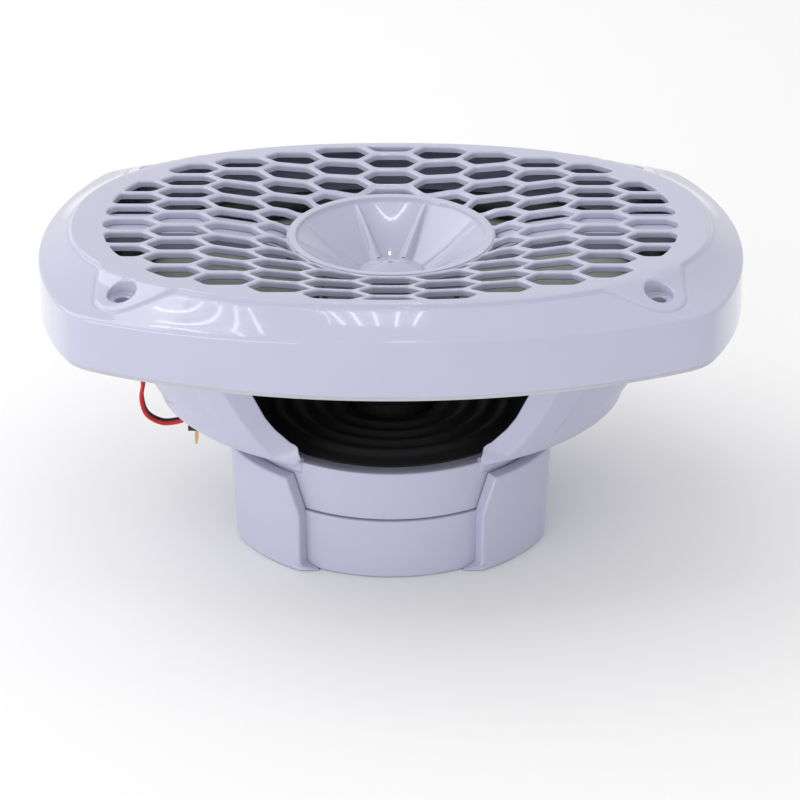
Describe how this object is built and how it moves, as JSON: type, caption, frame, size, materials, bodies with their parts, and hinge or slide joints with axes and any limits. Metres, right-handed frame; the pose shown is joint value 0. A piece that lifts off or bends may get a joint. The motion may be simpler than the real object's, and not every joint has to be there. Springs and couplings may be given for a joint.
{
  "type": "coaxial car speaker",
  "caption": "Oval coaxial car speaker with a honeycomb grille, a finned horn tweeter at its centre, an open-sided basket and a round magnet cover.",
  "frame": {"origin": "middle of the magnet cover's flat base", "axes": "+Z out of the grille, +X along the long side of the oval away from the terminals, +Y towards the back of the oval"},
  "size_m": [0.2472, 0.1784, 0.1124],
  "materials": {
    "white_plastic": "glossy moulded plastic, faintly lavender",
    "pale_foam": "closed-cell foam, matt",
    "dome_film": "thin formed film",
    "copper_wire": "enamelled copper winding",
    "plated_steel": "zinc plate",
    "nickel_magnet": "nickel plate",
    "dark_plastic": "matt moulding",
    "screw_steel": "zinc plate",
    "ferrite": "ground ferrite, matt",
    "cone_plastic": "satin polypropylene, dark at the back",
    "former_film": "black polyimide film",
    "spider_cloth": "black resin-dipped cloth",
    "black_rubber": "matt rubber",
    "terminal_brass": "bare brass",
    "capacitor_film": "dipped film",
    "red_vinyl": "vinyl insulation",
    "black_vinyl": "vinyl insulation",
    "tinsel_copper": "braided tinsel wire"
  },
  "bodies": {
    "frame": {"grille": "white_plastic", "tweeter_horn": "white_plastic", "tweeter_phase_plug": "white_plastic", "basket": "white_plastic", "magnet_cover": "white_plastic", "mounting_gasket": "pale_foam", "tweeter_pole_plate": "plated_steel", "tweeter_magnet": "nickel_magnet", "tweeter_yoke": "plated_steel", "tweeter_housing": "dark_plastic", "tweeter_screw_1": "screw_steel", "tweeter_screw_2": "screw_steel", "tweeter_screw_3": "screw_steel", "back_plate": "plated_steel", "magnet": "ferrite", "top_plate": "plated_steel", "motor_screw_1": "screw_steel", "motor_screw_2": "screw_steel", "motor_screw_3": "screw_steel", "motor_screw_4": "screw_steel", "spider": "spider_cloth", "surround": "black_rubber", "terminal_board": "dark_plastic", "terminal_positive": "terminal_brass", "terminal_negative": "terminal_brass", "crossover_capacitor": "capacitor_film", "tweeter_lead_red": "red_vinyl", "tweeter_lead_black": "black_vinyl", "tinsel_lead_1": "tinsel_copper", "tinsel_lead_2": "tinsel_copper"},
    "cone_assembly": {"cone": "cone_plastic", "dust_cap": "cone_plastic", "voice_coil_former": "former_film", "voice_coil": "copper_wire"},
    "tweeter_diaphragm": {"tweeter_dome": "dome_film", "tweeter_voice_coil": "copper_wire"}
  },
  "joints": [
    {"name": "cone_travel", "type": "slide", "parent": "frame", "child": "cone_assembly", "axis": [0, 0, 1], "range_m": [-0.005, 0.005], "stiffness_N_per_m": 3000, "deforming": ["surround", "spider", "tinsel_lead_1", "tinsel_lead_2"]},
    {"name": "tweeter_dome_travel", "type": "slide", "parent": "frame", "child": "tweeter_diaphragm", "axis": [0, 0, 1], "range_m": [-0.0003, 0.0003], "stiffness_N_per_m": 1500}
  ]
}
